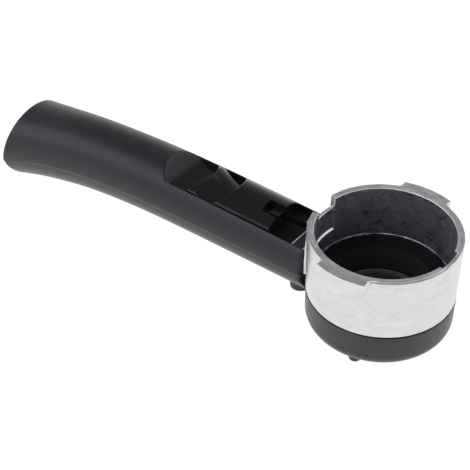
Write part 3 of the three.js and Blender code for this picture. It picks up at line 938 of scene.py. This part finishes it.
def build_collar():
    rings = []
    for a in collar_angles():
        turn = math.radians(a)
        rings.append([(r * math.cos(turn), r * math.sin(turn), z) for r, z in collar_outline(a)])
    ob = loop("collar", rings)
    shelf = rounded([
        (SHELF_X, ARM_TOP - 0.3, 0),
        (SHELF_X, SHELF_Z, 0.35),
        (SHELF_X + 0.75, SHELF_Z, 0.3),
        (SHELF_X + 0.95, SHELF_Z - 0.4, 0.15),
        (-29.0, SHELF_Z - 0.4, 0),
        (-29.0, ARM_TOP - 0.3, 0),
    ])
    shelf_rings = [[(x, y, z) for x, z in shelf] for y in (-SHELF_HALF_W, SHELF_HALF_W)]
    arm = box(ARM_X, -29.2, -ARM_HALF_W, ARM_HALF_W, COLLAR_FOOT + 0.01, ARM_TOP)
    join(ob, loft("tool", shelf_rings), arm)
    for x, y in BOWL_SCREWS:
        cut(ob, post(x, y, 1.8, COLLAR_FOOT - 1, WEB_TOP + 1, 32))
    cut(ob, post(FRONT_SCREW_X, 0, 2.3, COLLAR_FOOT - 1, ARM_TOP - 0.5, 32))
    return ob


finish_piece(build_collar(), "collar_body", "collar_ring", "holder", ALU)


# ---------------------------------------------------------------- bowl, dish, outlet
def build_bowl():
    inner = BOWL_R - BOWL_WALL
    outline = rounded([
        (0, BOWL_Z, 0),
        (BOWL_R - 0.35, BOWL_Z, BOWL_FILLET),
        (BOWL_R, BOWL_TOP, 0.35),
        (SEAL_SEAT_R, BOWL_TOP, 0.2),
        (SEAL_SEAT_R, SEAL_SEAT, 0),
        (inner, SEAL_SEAT, 0.2),
        (inner, BOWL_Z + BOWL_WALL, 4),
        (0, BOWL_Z + BOWL_WALL, 0),
    ], 10)
    ob = turned("bowl", outline, 160)
    for x, y in BOWL_SCREWS:
        boss = post(x, y, 3, BOWL_Z + 3, COLLAR_FOOT - GAP, 40)
        room = turned("tool", [(0, BOWL_Z + 2), (inner + 0.8, BOWL_Z + 2),
                               (inner + 0.8, SEAL_SEAT), (inner, SEAL_SEAT),
                               (inner, COLLAR_FOOT), (0, COLLAR_FOOT)], 96)
        combine(boss, [room], "INTERSECT")
        join(ob, boss)
        cut(ob, post(x, y, 2.6, BOWL_Z - 1, BOWL_Z + 5, 40), post(x, y, 1.7, BOWL_Z, 30, 32))
    for x in OUTLET_SCREWS:
        join(ob, post(x, 0, 3, BOWL_Z + 1, BOWL_Z + 5.8, 32))
        cut(ob, post(x, 0, 1.5, BOWL_Z - 1, BOWL_Z + 4.8, 24))
    cut(ob, post(0, 0, 3, BOWL_Z - 1, BOWL_Z + 4, 48))
    return ob


def build_gasket():
    low, high = SEAL_SEAT + GAP, COLLAR_FOOT - GAP
    inner, outer = BOWL_R - 2.3, SEAL_SEAT_R - GAP
    return turned("gasket", rounded([(inner, low, 0.2), (outer, low, 0.2),
                                     (outer, high, 0.2), (inner, high, 0.2)]))


def build_dish():
    return turned("dish", rounded([
        (DRAIN_R, DISH_FLOOR - 1.5, 0.2),
        (DISH_R - 2, DISH_FLOOR - 1.2, 1),
        (DISH_R, DISH_FLOOR + 0.8, 1),
        (DISH_R, WEB_TOP + GAP, 0.3),
        (BORE_R - 0.3, WEB_TOP + GAP, 0.2),
        (BORE_R - 0.3, WEB_TOP + 1.2, 0.3),
        (DISH_R - 0.6, WEB_TOP + 1.2, 0.3),
        (DISH_R - 1.2, WEB_TOP + 0.6, 0.3),
        (DISH_R - 1.2, DISH_FLOOR, 0.5),
        (RING_OUT_R, DISH_FLOOR, 0.3),
        (RING_OUT_R - 0.1, DISH_FLOOR + 1.4, 0.35),
        (RING_IN_R + 0.1, DISH_FLOOR + 1.4, 0.35),
        (RING_IN_R, DISH_FLOOR, 0.3),
        (DRAIN_R, DISH_FLOOR - 0.3, 0.3),
    ]))


def bar_outline(inset):
    """The round plate with its two arms, which end in the outlets."""
    r = OUTLET_BAR_R - inset
    plate = OUTLET_PLATE_R - inset
    meet = math.asin(r / plate)
    half = []
    for k in range(17):
        a = math.pi * k / 16
        half.append((r * math.cos(a), OUTLET_Y + r * math.sin(a)))
    for k in range(25):
        a = mix(math.pi / 2 + meet, 1.5 * math.pi - meet, k / 24)
        half.append((plate * math.cos(a), plate * math.sin(a)))
    return half + [(-x, -y) for x, y in half]


def build_outlet_bar():
    top = BOWL_Z - GAP
    levels = ((0, 1.05), (0.12, 0.7), (0.4, 0.33), (0.8, 0.1), (1.3, 0), (top, 0))
    ob = loft("bar", [[(x, y, z) for x, y in bar_outline(inset)] for z, inset in levels])
    cut(ob, box(-OUTLET_R, OUTLET_R, -OUTLET_Y, OUTLET_Y, 5.6, top + 1))
    for y, x in zip((-OUTLET_Y, OUTLET_Y), OUTLET_SCREWS):
        cut(ob, post(0, y, OUTLET_R, -1, top + 1, 32),
            post(x, 0, 2.6, -1, 4.6, 32), post(x, 0, 1.5, -1, top + 1, 32))
    return ob


finish_piece(build_bowl(), "bowl_body", "base_bowl", "holder", BOWL)
finish_piece(build_gasket(), "gasket_body", "bowl_gasket", "holder", RUBBER)
finish_piece(build_dish(), "dish_body", "drain_dish", "holder", DISH)
finish_piece(build_outlet_bar(), "outlet_bar_body", "outlet_bar", "holder", BOWL)


# ---------------------------------------------------------------- handle shells
def front_room():
    """Everything the collar and its arm need in the handle's front."""
    return [
        post(0, 0, COLLAR_R + 0.21, -5, 66, 150),
        box(PAD_X_FOOT - GAP, -20, -PAD_HALF_W - GAP, PAD_HALF_W + GAP, COLLAR_FOOT - GAP, 65),
        box(ARM_X - 0.4, -20, -ARM_HALF_W - 0.4, ARM_HALF_W + 0.4, COLLAR_FOOT - GAP,
            ARM_TOP + GAP),
        box(SHELF_X - 0.4, -20, -SHELF_HALF_W - 0.4, SHELF_HALF_W + 0.4, ARM_TOP - 0.6,
            SHELF_Z + GAP),
    ]


def build_upper():
    rings = [place(x, upper_outline(x, inset)) for x, inset in upper_stations()]
    ob = loft("upper", rings)
    cut(ob, *front_room())
    cut(ob, cavity(True))
    slot_half = FOOT_HALF_W + GAP
    cut(ob, box(FOOT_X[0] - 3.4, FOOT_X[1] + 3.4 + SLIDE_TRAVEL, -slot_half, slot_half, 20,
                CHANNEL_FLOOR_Z + 1),
        box(SHELF_X - 0.4, -20, -CHANNEL_HALF_W, CHANNEL_HALF_W, 20, 63))
    for x in REAR_SCREWS:
        z, r = handle_at(x)
        join(ob, post(x, 0, 4, seam_at(x) + 0.4, z + r - 1.5, 32))
        cut(ob, post(x, 0, 1.4, z - 10, z + 8, 24))
    return ob


finish_piece(build_upper(), "handle_top", "handle_upper_shell", "holder",
             HANDLE)


def build_lower():
    ob = loft("lower", lower_rings())
    cut(ob, cavity(False))
    z, r = handle_at(FRONT_SCREW_X)
    boss_top = z - r + 1.6
    boss = turned("tool", rounded([(0, FRONT_BOSS_Z, 0), (FRONT_BOSS_R, FRONT_BOSS_Z, 0.8),
                                   (FRONT_BOSS_R, boss_top, 0), (0, boss_top, 0)], 5), 56)
    inner_boss = post(FRONT_SCREW_X, 0, 5, z - r + 1.2, COLLAR_FOOT - 0.5, 40)
    join(ob, shift(boss, FRONT_SCREW_X), inner_boss)
    for x in REAR_SCREWS:
        z, r = handle_at(x)
        join(ob, post(x, 0, 4.4, z - r + 1.2, seam_at(x) - 0.4, 32))
    cut(ob, post(FRONT_SCREW_X, 0, 3.4, 0, FRONT_BOSS_Z + 5, 40),
        post(FRONT_SCREW_X, 0, 2.2, 0, 32, 32))
    for x in REAR_SCREWS:
        z, r = handle_at(x)
        cut(ob, post(x, 0, 3.1, z - r - 2, z - r + 6, 40), post(x, 0, 1.7, z - r, z, 24))
    cut(ob, *front_room())
    return ob


def paint_seam_highlight(shell):
    """The top edge of the lower shell, along the parting line, gets a pale plastic: a painted
    highlight.
    """
    shell.data.materials.append(SEAM_HIGHLIGHT)
    for face in shell.data.polygons:
        x, _, z = (value / MM for value in face.center)
        if face.normal.z > 0.25 and abs(seam_at(x) - 0.2 - z) < 0.5:
            face.material_index = 1


paint_seam_highlight(finish_piece(build_lower(), "handle_bottom", "handle_lower_shell", "holder",
                           HANDLE))


# ---------------------------------------------------------------- thumb slide
def slide_profile(y):
    """The slide's lengthwise section at y."""
    from_edge = SLIDE_HALF_W - abs(y)
    drop = 0.0
    if from_edge < SLIDE_EDGE:
        drop = SLIDE_EDGE - math.sqrt(max(SLIDE_EDGE**2 - (SLIDE_EDGE - from_edge) ** 2, 0))
    z0 = SLIDE_Z
    rear_foot = CHANNEL_FLOOR_Z + 2.2

    def crown(x, inset=0.0):
        """The handle's outline, but never steeper than the slope across."""
        _, r = handle_at(x)
        limit = SLIDE_SLOPE * r / math.sqrt(1 + SLIDE_SLOPE**2)
        over = max(-y - limit, 0.0)
        return round_top(x, max(y, -limit)) - SLIDE_SLOPE * over - inset

    def top(x):
        return crown(x) - drop

    def dent(x):
        """The concave top between the two grips."""
        t = clamp((x + 87) / 15.4)
        return smax(crown(x, 0.4 + 4.6 * (1 - (1 - t) ** 2)) - drop, SLIDE_Z + 1.3, 0.8)

    def grip(x, r):
        return x - r + math.sqrt(max(r**2 - y * y, 0))

    face1 = max(grip(REAR_GRIP_X, REAR_GRIP_R), SLIDE_REAR_X)
    face2 = grip(FRONT_GRIP_X, FRONT_GRIP_R)
    pts = [(SLIDE_REAR_X, z0), (SLIDE_REAR_X, rear_foot), (face1, rear_foot),
           (face1, dent(face1))]
    radii = [0.2, 0.3, 0.8, 0.8]
    for k in range(1, 12):
        x = mix(face1, face2, k / 12)
        pts.append((x, dent(x)))
        radii.append(0)
    pts += [(face2, dent(face2)), (face2, top(face2))]
    radii += [0.9, 0.8]
    for k in range(1, 12):
        x = mix(face2, SLIDE_FRONT_X, k / 12)
        pts.append((x, top(x)))
        radii.append(0)
    pts += [(SLIDE_FRONT_X, top(SLIDE_FRONT_X)), (SLIDE_FRONT_X, z0)]
    radii += [0.5, 0.2]
    return [(x, y, z) for x, z in fillet(pts, radii, 5)]


def build_slide():
    ys = [-SLIDE_HALF_W + 0.45 * (1 - math.cos(k / 5 * math.pi / 2)) for k in range(5)]
    inner = [mix(-SLIDE_HALF_W + 0.45, SLIDE_HALF_W - 0.45, k / 56) for k in range(57)]
    ys = ys + inner + [-y for y in reversed(ys)]
    ob = loft("slide", [slide_profile(y) for y in ys])
    cut(ob, box(FOOT_X[0] + 5, FOOT_X[1] - 5, -SLIDE_HALF_W + 2, SLIDE_HALF_W - 2, 20,
                SLIDE_Z + 1.1))
    # the sprung finger: a slot round three sides of a tab
    slot = box(-55.6, -40, -6.2, 0.8, SLIDE_Z + 5.0, 64)
    tab = box(-52.4, -39, -4.6, -1.9, 30, SLIDE_Z + 5.9)
    cut(ob, cut(slot, tab))
    for x in FOOT_X:
        join(ob, box(x - 3, x + 3, -FOOT_HALF_W, FOOT_HALF_W, CHANNEL_FLOOR_Z - 2.2,
                     SLIDE_Z + 1.9))
        cut(ob, post(x, 0, 1.4, 20, SLIDE_Z + 2.5, 24))
    cut(ob, along_x(post(0, 0, PIN_R + GAP, SLIDE_FRONT_X - 6, -40, 32), PIN_Z))
    return ob


def build_pin():
    rear = SLIDE_FRONT_X - 5.6
    return along_x(turned("pin", rounded([(0, rear, 0), (PIN_R, rear, 0.2),
                                          (PIN_R, PIN_TIP_X, 0.4), (0, PIN_TIP_X, 0)]), 48),
                   PIN_Z)


def build_keeper():
    plate = rounded([(FOOT_X[0] - 4, -6, 1.5), (FOOT_X[1] + 4, -6, 1.5),
                     (FOOT_X[1] + 4, 6, 1.5), (FOOT_X[0] - 4, 6, 1.5)], 6)
    ob = loft("keeper", [[(x, y, z) for x, y in plate] for z in (KEEPER_TOP - 1.2, KEEPER_TOP)])
    for x in FOOT_X:
        cut(ob, post(x, 0, 1.6, 20, 60, 32))
    return ob


finish_piece(build_slide(), "slide_body", "thumb_slide", "slide", SLIDE)
finish_piece(build_pin(), "pin_body", "lock_pin", "slide", BLACK_STEEL)
finish_piece(build_keeper(), "keeper_body", "slide_keeper", "slide", STEEL)


# ---------------------------------------------------------------- screws
def build_screw(x, y, head_z, head_r, head_h, shank_r, top_z):
    """A screw that is driven in from below, with a cross-slotted head."""
    low = head_z - head_h
    ob = turned("screw", rounded([
        (0, low, 0),
        (head_r * 0.8, low + 0.1, head_r * 0.3),
        (head_r, low + head_h * 0.55, 0.3),
        (head_r, head_z, 0.15),
        (shank_r, head_z, 0),
        (shank_r, top_z - shank_r * 0.6, 0.2),
        (0, top_z, 0),
    ]), 40)
    arm = head_r * 0.55
    cut(ob, box(-arm, arm, -0.36, 0.36, low - 1, low + 0.7),
        box(-0.36, 0.36, -arm, arm, low - 1, low + 0.7))
    return shift(ob, x, y)


def add_screw(name, node, body, *sizes):
    finish_piece(build_screw(*sizes), name, node, body, STEEL)


for k, (x, y) in enumerate(BOWL_SCREWS, 1):
    add_screw(f"bowl_screw_{k}_body", f"bowl_screw_{k}", "holder",
              x, y, BOWL_Z + 4.7, 2.3, 2, 1.3, WEB_TOP - 0.4)
for k, x in enumerate(OUTLET_SCREWS, 1):
    add_screw(f"outlet_screw_{k}_body", f"outlet_screw_{k}", "holder",
              x, 0, 4.3, 2.3, 1.5, 1.2, BOWL_Z + 4.5)
add_screw("front_screw_body", "handle_screw_front", "holder",
          FRONT_SCREW_X, 0, FRONT_BOSS_Z + 4.7, 3.1, 2.2, 1.9, ARM_TOP - 1)
for name, x in zip(("middle", "rear"), REAR_SCREWS):
    z, r = handle_at(x)
    add_screw(f"{name}_screw_body", f"handle_screw_{name}", "holder",
              x, 0, z - r + 5.7, 2.8, 2, 1.2, z + 6)
for k, x in enumerate(FOOT_X, 1):
    add_screw(f"slide_screw_{k}_body", f"slide_screw_{k}", "slide",
              x, 0, KEEPER_TOP - 1.5, 2.4, 1.5, 1.1, SLIDE_Z + 1.9)


# ---------------------------------------------------------------- stage, light, camera
def linked(ob):
    bpy.context.scene.collection.objects.link(ob)
    return ob


def build_floor(half=6):
    mesh = bpy.data.meshes.new("floor")
    corners = [(-half, -half, 0), (half, -half, 0), (half, half, 0), (-half, half, 0)]
    mesh.from_pydata(corners, [], [(0, 1, 2, 3)])
    material = bpy.data.materials.new("floor")
    tree, shader = nodes_of(material)
    shader.inputs["Base Color"].default_value = (0.12, 0.12, 0.12, 1)
    shader.inputs["Roughness"].default_value = 0.9
    shader.inputs["Emission Color"].default_value = (1, 0.985, 0.97, 1)
    shader.inputs["Emission Strength"].default_value = 0.99
    # one-sided, so that the underside can be looked at
    surface = tree.nodes["Material Output"].inputs[0]
    clear = tree.nodes.new("ShaderNodeBsdfTransparent")
    either = tree.nodes.new("ShaderNodeMixShader")
    tree.links.new(geometry(tree, "Backfacing"), either.inputs[0])
    tree.links.new(shader.outputs[0], either.inputs[1])
    tree.links.new(clear.outputs[0], either.inputs[2])
    tree.links.new(either.outputs[0], surface)
    mesh.materials.append(material)
    return linked(bpy.data.objects.new("floor", mesh))


def build_sky():
    """Grey overhead and white near the horizon."""
    world = bpy.data.worlds.new("studio")
    bpy.context.scene.world = world
    world.use_nodes = True
    tree = world.node_tree
    way = tree.nodes.new("ShaderNodeTexCoord").outputs["Generated"]
    _, _, height = split(tree, way)
    sky = ramp(tree, height, [(0.0, 1.0), (0.08, 0.85), (0.30, 0.55), (0.50, 0.40),
                              (0.62, 0.34), (1.0, 0.42)])
    tree.links.new(sky, tree.nodes["Background"].inputs[0])
    tree.nodes["Background"].inputs[1].default_value = 1.0


def panel(name, way, distance, size, radiance, colour=(1, 1, 1)):
    """A soft panel seen from the object in the direction way."""
    light = bpy.data.lights.new(name, "AREA")
    light.shape = "RECTANGLE"
    light.size, light.size_y = size
    light.energy = radiance * math.pi * size[0] * size[1]
    light.color = colour
    ob = linked(bpy.data.objects.new(name, light))
    middle = Vector((-0.06, 0, 0.03))
    ob.location = middle + Vector(way).normalized() * distance
    aim = middle - ob.location
    ob.rotation_euler = aim.to_track_quat("-Z", "Y").to_euler()


def build_camera():
    lens = bpy.data.cameras.new("camera")
    lens.lens = 101.2
    lens.sensor_width = 36
    ob = linked(bpy.data.objects.new("camera", lens))
    ob.location = (0.19298, -0.35689, 0.38393)
    azimuth, elevation = math.radians(36.779), math.radians(39.359)
    back = Vector((math.sin(azimuth) * math.cos(elevation),
                   -math.cos(azimuth) * math.cos(elevation), math.sin(elevation)))
    ob.rotation_mode = "QUATERNION"
    ob.rotation_quaternion = (-back).to_track_quat("-Z", "Y")
    return ob


build_floor()
build_sky()
panel("front_left", (-0.36, -0.70, 0.57), 1.6, (2.6, 0.92), 1.85, (0.96, 0.94, 1.06))
panel("back_right", (0.52, 0.62, 0.58), 1.8, (1.5, 1.1), 0.95)
bpy.context.scene.camera = build_camera()
bpy.context.scene.view_settings.view_transform = "Standard"
bpy.context.scene.view_settings.look = "None"
